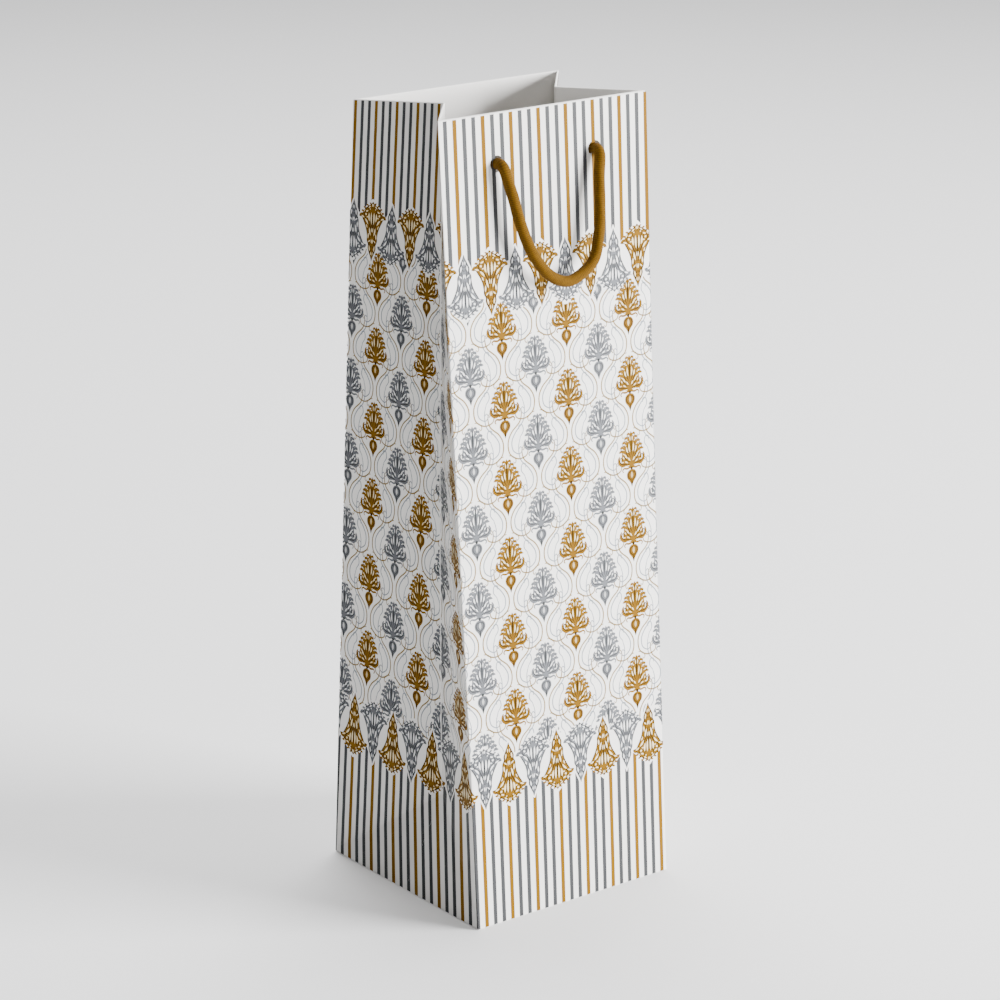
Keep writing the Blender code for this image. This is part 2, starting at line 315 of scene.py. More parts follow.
def ringAt(rise, depthPanel, depthGusset, lift=0.0, atBase=False):
    # closed ring of stations round the bag, each side moved inward by its own depth
    panelRise = 0.0 if atBase else float(foldRise(rise))
    corners = [edgeLine("leftFront", panelRise), edgeLine("rightFront", panelRise), creaseLine(1, rise),
               edgeLine("rightRear", panelRise), edgeLine("leftRear", panelRise), creaseLine(-1, rise)]
    corners = [np.array(corner, float) for corner in corners]
    depths = [depthPanel, depthGusset, depthGusset, depthPanel, depthGusset, depthGusset]
    normals = []
    for index in range(6):
        along = corners[(index + 1) % 6][:2] - corners[index][:2]
        along = along / np.linalg.norm(along)
        normals.append(np.array([-along[1], along[0]]))
    moved = []
    for index in range(6):
        before, after = normals[index - 1], normals[index]
        if index in (2, 5):
            shift = (before + after) / (1 + before @ after) * depthGusset
        else:
            shift = np.linalg.solve(np.array([before, after]), np.array([depths[index - 1], depths[index]]))
        moved.append(corners[index] + np.array([shift[0], shift[1], lift]))
    stations = []
    rounding = bagShape["foldRound"]
    for index, face in enumerate(faceNames):
        start, end = moved[index], moved[(index + 1) % 6]
        length = np.linalg.norm(end - start)
        along = (end - start) / length
        inner = [start + along * rounding, start + along * (rounding + 0.0006)]
        steps = 20 if face in ("front", "back") else 9
        first, last = rounding + 0.0006, length - rounding - 0.0006
        places = [first + (last - first) * step / steps for step in range(1, steps)]
        inner += [start + along * place for place in places]
        inner += [end - along * (rounding + 0.0006), end - along * rounding]
        shares = [np.linalg.norm(point - start) / length for point in inner]
        pushes = bulge(face, np.array(shares), panelRise)
        inner = [point + push for point, push in zip(inner, pushes)]
        stations += inner
        following = moved[(index + 2) % 6]
        onward = (following - end) / np.linalg.norm(following - end)
        a, b = end - along * rounding, end + onward * rounding
        for step in range(1, 6):
            t = step / 6
            stations.append((1 - t) ** 2 * a + 2 * t * (1 - t) * end + t * t * b)
    return stations


def makeShell():
    paper = bagShape["paperThickness"]
    hemPanel, hemGusset = bagShape["hemDepthPanel"], bagShape["hemDepthGusset"]
    rimRound = 0.0005
    hemRise = 1 - bagShape["hemDrop"] / bagShape["height"]
    top = 1 - rimRound / bagShape["height"]
    lowRows = (0.0, 0.3, 0.6, 0.85, 0.97)
    upRows = [0.0, 0.006, 0.012] + list(np.linspace(0.03, 0.97, 30)) + [top]
    rings = [ringAt(-1, 0.0005, 0.0005, 0, True), ringAt(-1, 0.00015, 0.00015, 0.00012, True)]
    for row in lowRows:
        rings.append(ringAt(row - 1, 0, 0))
    for row in upRows:
        rings.append(ringAt(row, 0, 0))
    for step in range(1, 8):
        turn = math.pi * step / 8
        share = (1 - math.cos(turn)) / 2
        rings.append(ringAt(top, hemPanel * share, hemGusset * share, rimRound * math.sin(turn)))
    inside = [top, 0.985] + list(np.linspace(0.97, hemRise + 0.01, 4)) + [hemRise + 0.001, hemRise]
    for row in inside:
        rings.append(ringAt(row, hemPanel, hemGusset))
    rings.append(ringAt(hemRise, hemPanel - paper, hemGusset - 0.0003, -0.0003))
    rings.append(ringAt(hemRise - 0.0005, paper, paper))
    for row in [row for row in reversed(upRows) if row < hemRise - 0.004]:
        rings.append(ringAt(row, paper, paper))
    for row in reversed(lowRows):
        rings.append(ringAt(row - 1, paper, paper))
    rings.append(ringAt(-1, 0.00058, 0.00058, 0.0001, True))
    size = len(rings[0])
    faces = []
    count = len(rings)
    for ring in range(count):
        onward = (ring + 1) % count
        for place in range(size):
            after = (place + 1) % size
            faces.append((ring * size + place, ring * size + after, onward * size + after, onward * size + place))
    mesh = meshFrom("paperShell", [point for ring in rings for point in ring], faces)
    shell = addPiece("paperShell", mesh, "bag")
    return shell


def punchHoles(shell):
    bm = bmesh.new()
    for side in (-1, 1):
        turn = panelFrame(side)[1].to_track_quat("Z", "Y").to_matrix().to_4x4()
        for across in (-ropeShape["spacing"] / 2, ropeShape["spacing"] / 2):
            turn.translation = offPanel(side, across, -0.001, ropeShape["holeHeight"])
            bmesh.ops.create_cone(bm, cap_ends=True, segments=48, radius1=0.0035, radius2=0.0035,
                                  depth=0.012, matrix=turn)
    cutterMesh = bpy.data.meshes.new("holeCutter")
    bm.to_mesh(cutterMesh)
    bm.free()
    cutter = putInScene("holeCutter", cutterMesh)
    cut = shell.modifiers.new("punchedHoles", "BOOLEAN")
    cut.operation = "DIFFERENCE"
    cut.solver = "EXACT"
    cut.object = cutter
    bpy.context.view_layer.update()
    evaluated = shell.evaluated_get(bpy.context.evaluated_depsgraph_get())
    punched = bpy.data.meshes.new_from_object(evaluated)
    shell.modifiers.clear()
    shell.data = punched
    shell.data.name = "paperShell"
    bpy.data.objects.remove(cutter)
    shell.data.shade_smooth()
    shell.data.set_sharp_from_angle(angle=math.radians(50))


shell = makeShell()
punchHoles(shell)
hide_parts("front_panel", "back_panel", "left_gusset_front", "left_gusset_rear", "left_gusset_triangle",
            "right_gusset_front", "right_gusset_rear", "right_gusset_triangle", "front_hem", "back_hem",
            "left_hem_front", "left_hem_rear", "right_hem_front", "right_hem_rear")
print("paper shell folded and punched")


printShape = {
    "stripePitch": 0.01465,    # one gold and two grey
    "stripeWidth": 0.00205,
    "pitchOnPaper": (0.0143, 0.01467),    # as laid on the front, at the bottom and at the mouth
    "firstStripe": (0.0049, 0.0086),      # first gold stripe, in from the left fold
    "bandTop": 0.285,          # middle height of the upper row of finials
    "bandBottom": 0.068,
    "bandStep": 0.02705,
    "bandStart": 0.0154,
    "bandHalf": 0.014,
    "kiteHalf": 0.0094,        # a finial's outline: half its width, and from its widest place to each end
    "kiteShort": 0.0082,
    "kiteLong": 0.0198,
    "columnStep": 0.01756,
    "columnStart": 0.0202,
    "rowStep": 0.0341,
    "goldRow": 0.2639,
    "greyRow": 0.2470,
    "fieldMargin": 0.01,
    "halo": 0.0013,
    "stripeGap": 0.0017,
    "lift": 0.00003,
    "layerLift": {"body": 1.0, "deep": 2.2, "open": 3.0},
}

# the sides, where lengths and counts in pairs are at the bottom and at the mouth
sidePrint = {
    "foldStripes": (18.9, 19.74),      # stripes from the rear fold to the front fold
    "creaseStripes": (14.6, 13.05),    # stripes from the rear fold to the crease, on the left side
    "footStripes": 5.15,               # fewer where the middle of the left triangle meets the base
    "finialSlide": 0.0052,             # the left side's ornaments stand nearer to the front
    "fieldSlide": (0.0052, 0.0026),
    "fieldSlideFrom": 0.1,
    "fieldSlideOver": 0.18,
}

# how many millimetres higher the artwork sits on the left side; inward runs from the rear fold to the crease
sideLift = {
    "level": 15.1, "inward": -9.1, "up": 3.5, "upInward": 4.1, "upSquared": -4.3,
    "middle": 0.1765, "half": 0.1085,
    "lowLevel": 0.4, "lowInward": -13.9, "lowUp": 110,
}


def printEdges(face, rise):
    # print coordinate, in metres across the artwork, at the two ends of a face
    low = np.clip(rise, 0, 1)
    pitch = printShape["stripePitch"]
    third = pitch / 3
    width = mix(bagShape["baseWidth"], bagShape["mouthWidth"], low)
    onPaper = mix(*printShape["pitchOnPaper"], low)
    start = -pitch * mix(*printShape["firstStripe"], low) / onPaper
    end = start + pitch * width / onPaper
    foldStripe = mix(*sidePrint["foldStripes"], low)
    creaseStripe = mix(*sidePrint["creaseStripes"], low) - sidePrint["footStripes"] * np.clip(-rise, 0, 1)
    frontSpan = (foldStripe - creaseStripe) * third
    rearSpan = creaseStripe * third
    halfSpan = foldStripe * third / 2
    return {
        "front": (start, end),
        "leftFront": (start - frontSpan, start),
        "leftRear": (start - frontSpan - rearSpan, start - frontSpan),
        "rightFront": (end, end + halfSpan),
        "rightRear": (end + halfSpan, end + 2 * halfSpan),
        "back": (end + 2 * halfSpan, end + 2 * halfSpan + end - start),
    }[face]


def sideSlide(face, share, height, zone):
    # the ornaments stand a little nearer to the front on the left side than the stripes do
    if "left" not in face or "Stripes" in zone:
        return 0.0
    slide = sidePrint["finialSlide"]
    if zone == "field":
        up = np.clip((height - sidePrint["fieldSlideFrom"]) / sidePrint["fieldSlideOver"], 0, 1)
        slide = mix(*sidePrint["fieldSlide"], up)
    return slide * (1 - share if face == "leftFront" else 1.0)


def sideShift(face, share, height, zone):
    # the artwork sits higher or lower on the left side than on the front, up to the seam, in metres
    if "left" not in face:
        return np.zeros_like(height)
    inward = share if face == "leftRear" else 1 + 0 * share
    if zone.startswith("lower"):
        limit = printShape["bandBottom"] - printShape["bandHalf"]
        above = np.maximum(height, limit) - printShape["bandBottom"]
        shift = sideLift["lowLevel"] + sideLift["lowInward"] * inward + sideLift["lowUp"] * above
        fade = np.clip(height / limit, 0, 1)
    else:
        limit = printShape["bandTop"] + printShape["bandHalf"]
        up = (np.minimum(height, limit) - sideLift["middle"]) / sideLift["half"]
        shift = (sideLift["level"] + sideLift["inward"] * inward + sideLift["up"] * up
                 + sideLift["upInward"] * inward * up + sideLift["upSquared"] * up * up)
        fade = np.clip((bagShape["height"] - height) / (bagShape["height"] - limit), 0, 1)
    toFront = 1 - share if face == "leftFront" else 1.0
    return shift * fade * toFront * millimetre


def printPoint(face, across, height, zone):
    # artwork position to a place on the paper; height is measured up the print from the bottom fold
    z = height
    rise = z / bagShape["height"]
    gussetSide = face not in ("front", "back")
    full, apex = bagShape["height"], bagShape["apexHeight"]
    low, foot = bagShape["cornerTop"], bagShape["cornerFoot"]
    share = np.full_like(height, 0.5)
    for turn in range(14):
        start, end = printEdges(face, rise)
        found = np.clip((across + sideSlide(face, share, height, zone) - start) / (end - start), 0, 1)
        share = found if turn == 0 else share + 0.6 * (found - share)
        z = height + sideShift(face, share, height, zone)
        if gussetSide:
            toCrease = share if face in ("leftRear", "rightFront") else 1 - share
            toFold = 1 - toCrease
            corner = toFold * full * low
            rise = (z - corner - toCrease * apex) / (toFold * full * (1 - low) + toCrease * (full - apex))
            under = (z - corner * foot) / (corner * (1 - foot) + toCrease * apex) - 1
            rise = np.where(rise < 0, np.clip(under, -1, 0), np.clip(rise, 0, 1))
        else:
            rise = np.clip(z / full, 0, 1)
    return facePoint(face, share, rise), share, z


def placePrint(name, parts, material):
    # lays flat artwork on every face of the bag, and leaves out what falls past a face's ends
    allPoints, allFaces, offset = [], [], 0
    step = 0.0002
    for points, faces, lifts, zone in parts:
        corners = np.array([face if len(face) == 4 else (*face, face[-1]) for face in faces])
        spans = points[corners, 0]
        for face in faceNames:
            low, high = printEdges(face, np.array([-1.0, 0.0, 1.0]))
            near = (spans.max(axis=1) > low.min() - 0.007) & (spans.min(axis=1) < high.max() + 0.007)
            if not near.any():
                continue
            chosen = corners[near]
            used, local = np.unique(chosen, return_inverse=True)
            local = local.reshape(chosen.shape)
            x, y = points[used, 0], points[used, 1]
            spot, share, z = printPoint(face, x, y, zone)
            ends = [printPoint(face, x + dx, y + dy, zone)[0]
                    for dx, dy in ((step, 0), (-step, 0), (0, step), (0, -step))]
            normal = np.cross(ends[0] - ends[1], ends[2] - ends[3])
            normal /= np.maximum(np.linalg.norm(normal, axis=1), 1e-12)[:, None]
            spot = spot + normal * lifts[used][:, None]
            inside = (share > 0.001) & (share < 0.999)
            keep = inside[local].any(axis=1)
            if zone == "field":
                beside = x + sideSlide(face, share, y, "field") - sideSlide(face, share, y, "upper")
                edge = bandEdge(beside, False) + printShape["halo"]
                top = printShape["bandTop"] - edge
                foot = printPoint(face, x, printShape["bandBottom"] + edge, "lower")[2]
                keep &= ((y < top) & (z > foot))[local].all(axis=1)
            for corner in local[keep]:
                ring = list(dict.fromkeys(int(index) + offset for index in corner))
                allFaces.append(ring)
            allPoints.append(spot)
            offset += len(used)
    mesh = meshFrom(name, np.vstack(allPoints), allFaces, smooth=False)
    bm = bmesh.new()
    bm.from_mesh(mesh)
    bmesh.ops.dissolve_degenerate(bm, dist=1e-7, edges=bm.edges)
    loose = [vertex for vertex in bm.verts if not vertex.link_faces]
    bmesh.ops.delete(bm, geom=loose, context="VERTS")
    bm.to_mesh(mesh)
    bm.free()
    return addPiece(name, mesh, "bag", material)


class Artwork:
    # flat ink shapes in millimetres, gathered as quads
    def __init__(self):
        self.points, self.faces, self.lifts, self.count = [], [], [], 0

    def add(self, points, faces, lift):
        self.faces += [tuple(index + self.count for index in face) for face in faces]
        self.points.append(np.asarray(points, float))
        self.lifts.append(np.full(len(points), lift))
        self.count += len(points)

    def stroke(self, route, widths, lift, spacing=0.35):
        line = smoothLine([(x, y, 0) for x, y in route], spacing)[:, :2]
        along = np.gradient(line, axis=0)
        along /= np.maximum(np.linalg.norm(along, axis=1), 1e-9)[:, None]
        across = np.stack([-along[:, 1], along[:, 0]], 1)
        places = np.linspace(0, 1, len(line))
        reach = np.interp(places, np.linspace(0, 1, len(widths)), widths) / 2
        points = np.stack([line + across * reach[:, None], line - across * reach[:, None]], 1).reshape(-1, 2)
        faces = [(2 * i, 2 * i + 1, 2 * i + 3, 2 * i + 2) for i in range(len(line) - 1)]
        self.add(points, faces, lift)

    def flank(self, profile, lift):
        # filled right half of a symmetric outline, listed from the top down
        rim = smoothLine([(x, y, 0) for x, y in profile], 0.5)[:, :2]
        points = np.stack([rim * (share, 1) for share in (0, 0.5, 1)], 1).reshape(-1, 2)
        starts = [3 * row + column for row in range(len(rim) - 1) for column in (0, 1)]
        faces = [(start, start + 3, start + 4, start + 1) for start in starts]
        self.add(points, faces, lift)

    def leaf(self, base, tip, width, bend, lift):
        base, tip = np.array(base, float), np.array(tip, float)
        sideways = np.array([-(tip - base)[1], (tip - base)[0]])
        middle = (base + tip) / 2 + sideways * bend
        self.stroke([base, (base * 3 + middle * 4 + tip * -1) / 6 + (middle - base) * 0.1, middle, tip],
                    (0.12, width * 0.75, width, width * 0.8, 0.08), lift, 0.3)

    def dot(self, centre, radius, lift, sides=10):
        angles = np.linspace(0, math.tau, sides, endpoint=False)
        rim = np.stack([np.cos(angles), np.sin(angles)], 1) * radius + np.array(centre)
        self.add(np.vstack([rim, [centre]]), [(i, (i + 1) % sides, sides) for i in range(sides)], lift)


def mirrored(art):
    # both halves of a symmetric ornament
    points = np.vstack(art.points)
    lifts = np.concatenate(art.lifts)
    flipped = points * np.array([-1, 1])
    faces = art.faces + [tuple(index + len(points) for index in reversed(face)) for face in art.faces]
    return np.vstack([points, flipped]), faces, np.concatenate([lifts, lifts])


def damaskOrnament():
    # pointed crown of leaves with two scrolls, over a round drop
    body, deep, light = Artwork(), Artwork(), Artwork()
    body.flank([(0, 12.3), (1.2, 10.2), (2.6, 8.2), (4.2, 6.0), (5.3, 3.8), (5.6, 1.8), (6.0, 0.2), (5.6, -1.4),
                (4.0, -2.6), (2.2, -3.4), (1.0, -4.3), (0, -5.0)], 0)
    body.flank([(0, -4.9), (1.5, -5.2), (2.6, -6.3), (2.9, -7.6), (2.5, -9.0), (1.5, -10.1), (0.7, -11.2),
                (0, -13.0)], 1)
    for base, tip, size in (
            ((0.6, 10.6), (2.6, 10.9), 1.2), ((1.8, 8.8), (4.1, 9.2), 1.3), ((3.0, 6.8), (5.5, 7.3), 1.4),
            ((4.2, 4.8), (6.7, 5.3), 1.4), ((4.6, 3.0), (7.4, 3.4), 1.3)):
        body.leaf(base, tip, size, 0.22, 2)
    body.stroke([(3.4, -2.8), (5.4, -2.6), (7.0, -1.4), (7.5, 0.4), (6.8, 1.8)], (0.6, 1.3, 1.3, 1.0, 0.5), 3)
    body.stroke([(0.8, -4.0), (2.6, -4.3), (4.4, -4.0), (5.3, -4.9), (4.7, -5.8)], (0.6, 0.9, 0.8, 0.6, 0.4), 4)
    deep.leaf((0, 1.4), (0, 11.2), 0.8, 0.0, 0)
    deep.leaf((0.3, 0.4), (1.9, 7.6), 0.6, -0.10, 1)
    deep.leaf((0.4, -0.6), (3.4, 5.2), 0.6, -0.12, 2)
    deep.leaf((0.5, -1.6), (4.6, 2.6), 0.55, -0.14, 3)
    for x, y in ((1.5, 10.3), (2.9, 8.6), (4.2, 6.7), (5.3, 4.7)):
        deep.stroke([(x - 0.7, y - 0.3), (x + 0.2, y - 0.6), (x + 0.8, y + 0.1), (x + 0.2, y + 0.5)],
                    (0.2, 0.42, 0.3), 4)
    deep.stroke([(1.0, -2.9), (3.0, -2.2), (5.2, -2.0), (6.7, -0.7), (6.6, 0.8), (5.6, 0.8), (5.2, -0.2),
                 (5.9, -0.5)], (0.2, 0.5, 0.55, 0.45, 0.3), 8)
    deep.dot((0, -4.4), 0.7, 9)
    deep.stroke([(0.2, -5.8), (1.6, -6.3), (2.1, -7.6), (1.5, -8.9), (0.2, -9.9)], (0.3, 0.55, 0.6, 0.5, 0.3), 10)
    deep.leaf((0, -9.6), (0, -12.8), 0.8, 0.0, 11)
    for base, tip, size, bend in (
            ((0.85, 3.0), (1.35, 6.9), 0.75, -0.05), ((0.55, 8.0), (0.75, 10.2), 0.55, 0.0),
            ((2.0, 2.8), (2.9, 5.4), 0.8, -0.06), ((2.3, 0.4), (3.9, 2.4), 0.75, -0.08),
            ((1.6, 7.7), (2.4, 8.2), 0.55, 0.0), ((3.0, 6.0), (3.7, 6.5), 0.55, 0.0),
            ((4.1, 4.2), (4.8, 4.4), 0.5, 0.0), ((0.8, -1.0), (2.0, 0.6), 0.65, 0.0),
            ((2.2, -1.8), (3.9, -0.9), 0.6, 0.05), ((4.3, 0.2), (5.0, 1.4), 0.6, 0.0),
            ((4.6, -1.2), (5.8, -1.1), 0.45, 0.1), ((1.3, -3.2), (2.6, -3.0), 0.4, 0.0),
            ((3.6, 1.9), (4.9, 2.8), 0.5, 0.0)):
        light.leaf(base, tip, size, bend, 0)
    light.leaf((0, -6.0), (0, -9.0), 1.3, 0.0, 7)
    return {"body": body, "deep": deep, "open": light}


def finialOrnament():
    # broad lacy head on a long tapering foot
    body, deep, light = Artwork(), Artwork(), Artwork()
    body.flank([(0, 14.0), (0.9, 12.2), (2.4, 10.7), (4.4, 9.2), (6.0, 7.4), (7.1, 5.6), (7.6, 4.4), (6.4, 2.6),
                (5.0, 0.4), (3.9, -1.8), (3.5, -4.2), (3.6, -5.8), (2.6, -7.4), (2.7, -8.9), (1.7, -10.6),
                (0.8, -12.2), (0, -14.0)], 0)
    body.leaf((6.2, 5.4), (9.7, 4.2), 2.0, 0.06, 1)
    for base, tip in (
            ((1.4, 11.1), (2.5, 12.6)), ((3.2, 9.8), (4.6, 11.1)), ((5.0, 8.3), (6.7, 9.3)), ((6.2, 6.6), (8.2, 7.1))):
        body.leaf(base, tip, 1.2, 0.15, 2)
    deep.stroke([(0.1, 13.2), (1.1, 11.6), (3.0, 10.0), (5.2, 8.4), (6.6, 6.6), (7.6, 5.0), (9.3, 4.2)],
                (0.2, 0.6, 0.65, 0.6, 0.5, 0.35, 0.1), 0)
    deep.stroke([(9.2, 4.1), (7.5, 4.0), (6.3, 2.4), (4.9, 0.2), (3.9, -2.0), (3.4, -4.4), (3.4, -5.9), (2.5, -7.5),
                 (2.6, -8.9), (1.6, -10.7), (0.7, -12.2), (0, -13.8)],
                (0.1, 0.5, 0.55, 0.55, 0.5, 0.5, 0.45, 0.4, 0.1), 1)
    deep.stroke([(0.3, -4.4), (1.4, -0.8), (2.9, 1.8), (4.8, 3.4), (6.0, 5.0), (5.5, 6.6), (4.1, 6.8), (3.4, 5.6),
                 (4.1, 4.7)], (0.3, 0.65, 0.75, 0.6, 0.45, 0.3), 2)
    deep.stroke([(0.4, -1.6), (1.3, 2.0), (1.7, 5.2), (2.8, 7.8), (2.5, 9.3), (1.4, 9.4), (1.0, 8.4)],
                (0.3, 0.55, 0.6, 0.4, 0.3), 3)
    deep.leaf((0, -2.6), (0, 6.8), 0.8, 0.0, 4)
    deep.leaf((0, 8.8), (0, 13.0), 0.7, 0.0, 5)
    deep.stroke([(0.2, -13.0), (1.5, -10.2), (2.2, -7.6), (1.8, -4.8), (2.7, -1.8), (4.1, 0.2)],
                (0.2, 0.4, 0.45, 0.45, 0.3), 6)
    deep.stroke([(0.2, -5.2), (1.0, -6.2), (1.4, -7.6), (0.8, -8.7), (0.3, -7.9)], (0.3, 0.5, 0.4, 0.3), 7)
    deep.stroke([(0.2, -9.4), (1.1, -10.0), (1.2, -11.2), (0.5, -11.9)], (0.3, 0.4, 0.3), 8)
    for base, tip, size, bend in (
            ((0.65, 1.0), (0.95, 6.8), 1.0, -0.03), ((2.0, 2.4), (2.6, 6.4), 1.05, -0.08),
            ((3.3, 7.8), (5.0, 7.0), 0.85, -0.10), ((1.6, 10.5), (3.0, 9.1), 0.8, 0.0),
            ((3.1, 0.8), (5.4, 3.4), 0.9, 0.06), ((5.8, 3.8), (8.0, 4.6), 0.75, 0.0),
            ((4.3, 5.1), (5.2, 6.0), 1.0, 0.0), ((1.1, -3.8), (2.1, -0.4), 0.95, -0.05),
            ((2.6, -2.8), (2.9, -5.2), 0.8, 0.0), ((0.5, -5.2), (0.3, -7.0), 0.6, 0.0),
            ((1.9, -7.8), (1.4, -10.0), 0.7, 0.0), ((0.4, 10.0), (0.4, 12.2), 0.6, 0.0),
            ((0.6, -10.2), (0.5, -11.6), 0.5, 0.0), ((1.7, 8.2), (2.1, 8.9), 0.7, 0.0),
            ((5.5, 7.9), (6.5, 6.6), 0.55, 0.0), ((3.6, -0.8), (4.4, 0.8), 0.6, 0.0),
            ((1.2, -5.6), (2.6, -6.6), 0.5, 0.0), ((3.2, 4.2), (4.3, 4.2), 0.6, 0.1),
            ((0.35, -2.4), (0.5, -0.4), 0.5, 0.0)):
        light.leaf(base, tip, size, bend, 0)
    for layer in (body, deep, light):     # gathers the head towards the broad end
        for points in layer.points:
            points[:, 1] = 14 - 28 * np.maximum((14 - points[:, 1]) / 28, 0) ** 1.25
    return {"body": body, "deep": deep, "open": light}


def scrollLines(shade):
    # thin lines that curl between the ornaments
    art = Artwork()
    if shade == "beige":
        art.stroke([(8.0, -0.6), (9.0, -2.6), (7.9, -6.8), (3.4, -10.8), (1.3, -15.2), (2.2, -20.2), (6.6, -22.9),
                    (10.8, -22.2), (11.8, -19.8), (10.4, -18.4), (9.3, -19.6)],
                   (0.35, 0.6, 0.62, 0.62, 0.62, 0.55, 0.4), 20)
        art.stroke([(1.4, 13.4), (3.6, 12.8), (5.2, 11.0), (4.6, 9.6), (3.8, 10.4)], (0.3, 0.45, 0.4, 0.3), 20)
    else:
        art.stroke([(9.6, 3.4), (10.7, -1.0), (9.8, -6.6), (5.6, -11.0), (3.4, -14.8), (3.9, -18.8), (7.0, -20.8),
                    (8.8, -19.4), (8.0, -17.8), (7.0, -18.6)], (0.3, 0.5, 0.52, 0.5, 0.35), 21)
        art.stroke([(9.6, 3.4), (7.9, 5.8), (8.4, 8.4), (10.2, 8.4), (10.2, 6.8)], (0.3, 0.45, 0.45, 0.3), 21)
    return art


def kiteTop(offset, wideUpper):
    # upper edge of a finial's outline, in metres from its middle
    slope = printShape["kiteShort" if wideUpper else "kiteLong"] / printShape["kiteHalf"]
    return printShape["bandHalf"] - slope * np.abs(offset)


def bandEdge(across, upper):
    # the zigzag that the rows of finials cut: height above the middle of the row
    step, start = printShape["bandStep"], printShape["bandStart"]
    goldOffset = (across - start + step / 2) % step - step / 2
    greyOffset = (across - start) % step - step / 2
    return np.maximum(kiteTop(goldOffset, upper), kiteTop(greyOffset, not upper))


def repeatArt(art, places, flip=False):
    points, faces, lifts = mirrored(art)
    points = points * millimetre
    if flip:
        points = points * np.array([1, -1])
        faces = [tuple(reversed(face)) for face in faces]
    allPoints, allFaces, allLifts, offset = [], [], [], 0
    for x, y in places:
        allPoints.append(points + np.array([x, y]))
        allFaces += [tuple(index + offset for index in face) for face in faces]
        allLifts.append(lifts)
        offset += len(points)
    return np.vstack(allPoints), allFaces, np.concatenate(allLifts)


def bandSlide(across, rise):
    # how far the finials beside a stripe are slid on the left side
    left, start = printEdges("leftFront", rise)
    return np.interp(across, [left, start], [sidePrint["finialSlide"], 0])


def stripeArt(colours, zone):
    # stripes that run to the rim and to the bottom fold, and end at the finials
    art = Artwork()
    pitch, width, gap = printShape["stripePitch"], printShape["stripeWidth"], printShape["stripeGap"]
    first, last = artSpan
    for index in range(int(math.floor(first / pitch)) * 3, int(math.ceil(last / pitch)) * 3):
        if (index % 3 == 0) != (colours == "gold"):
            continue
        centre = index * pitch / 3
        across = np.array([centre - width / 2, centre, centre + width / 2])
        beside = across - bandSlide(across, 0.8 if zone == "upperStripes" else 0.15)
        if zone == "upperStripes":
            low = printShape["bandTop"] + bandEdge(beside, True) + gap
            high = np.full(3, bagShape["height"] - 0.0005)
        else:
            low = np.full(3, 0.0003)
            high = printShape["bandBottom"] - bandEdge(beside, True) - gap
        rows = 60
        points = np.vstack([np.stack([across, low + (high - low) * row / rows], 1) for row in range(rows + 1)])
        starts = [3 * row + column for row in range(rows) for column in (0, 1)]
        faces = [(start, start + 1, start + 4, start + 3) for start in starts]
        art.add(points, faces, 0)
    return np.vstack(art.points), art.faces, np.concatenate(art.lifts)


def finialPlaces(colour):
    step = printShape["bandStep"]
    start = printShape["bandStart"] + (0 if colour == "gold" else step / 2)
    first = start - math.ceil((start - artSpan[0]) / step) * step
    return np.arange(first, artSpan[1] + step, step)


def fieldPlaces(colour):
    step = 2 * printShape["columnStep"]
    start = printShape["columnStart"] + (0 if colour == "gold" else -printShape["columnStep"])
    first = start - math.ceil((start - artSpan[0]) / step) * step
    top = printShape[colour + "Row"]
    rows = [top - row * printShape["rowStep"] for row in range(-1, 8)]
    margin = printShape["fieldMargin"]
    return [(x, y) for x in np.arange(first, artSpan[1] + step, step) for y in rows
            if printShape["bandBottom"] - margin < y < printShape["bandTop"] + margin]


artSpan = (float(printEdges("leftRear", np.array([0.0, 1.0]))[0].min()),
           float(printEdges("back", np.array([0.0, 1.0]))[1].max()))
ornaments = {"finial": finialOrnament(), "damask": damaskOrnament()}


def inkPiece(name, colour, layer, material):
    upright = colour == "grey"
    finial, damask = ornaments["finial"][layer], ornaments["damask"][layer]
    upper = [(x, printShape["bandTop"]) for x in finialPlaces(colour)]
    lower = [(x, printShape["bandBottom"]) for x in finialPlaces(colour)]
    parts = [(*repeatArt(finial, upper, flip=upright), "upper"),
             (*repeatArt(finial, lower, flip=not upright), "lower"),
             (*repeatArt(damask, fieldPlaces(colour)), "field")]
    height = printShape["layerLift"][layer] * printShape["lift"]
    step = 0.0000015      # keeps overlapping shapes of one layer apart
    parts = [(points, faces, height + lifts * step, zone) for points, faces, lifts, zone in parts]
    return placePrint(name, parts, material)


def stripePiece(name, colour, material):
    parts = [(*stripeArt(colour, zone), zone) for zone in ("upperStripes", "lowerStripes")]
    parts = [(points, faces, printShape["lift"] + lifts, zone) for points, faces, lifts, zone in parts]
    return placePrint(name, parts, material)


def linePiece(name, shade, material):
    points, faces, lifts = repeatArt(scrollLines(shade), fieldPlaces("gold") + fieldPlaces("grey"))
    lifts = np.full(len(points), printShape["lift"] * 0.6)
    return placePrint(name, [(points, faces, lifts, "field")], material)


def nodeGroup(name, inputs, outputs):
    group = bpy.data.node_groups.new(name, "ShaderNodeTree")
    for label, kind, value in inputs:
        socket = group.interface.new_socket(label, in_out="INPUT", socket_type=kind)
        socket.default_value = value
    for label, kind in outputs:
        group.interface.new_socket(label, in_out="OUTPUT", socket_type=kind)
    return group, group.nodes.new("NodeGroupInput"), group.nodes.new("NodeGroupOutput")


def mathNode(tree, operation, *inputs):
    # numbers are set on the sockets, and outputs of other nodes are linked to them
    node = tree.nodes.new("ShaderNodeMath")
    node.operation = operation
    for socket, value in zip(node.inputs, inputs):
        if isinstance(value, float):
            socket.default_value = value
        else:
            tree.links.new(value, socket)
    return node.outputs[0]


def noiseNode(tree, detail):
    # noise that stays with the piece
    place = tree.nodes.new("ShaderNodeTexCoord")
    noise = tree.nodes.new("ShaderNodeTexNoise")
    noise.inputs["Detail"].default_value = detail
    tree.links.new(place.outputs["Object"], noise.inputs["Vector"])
    return noise


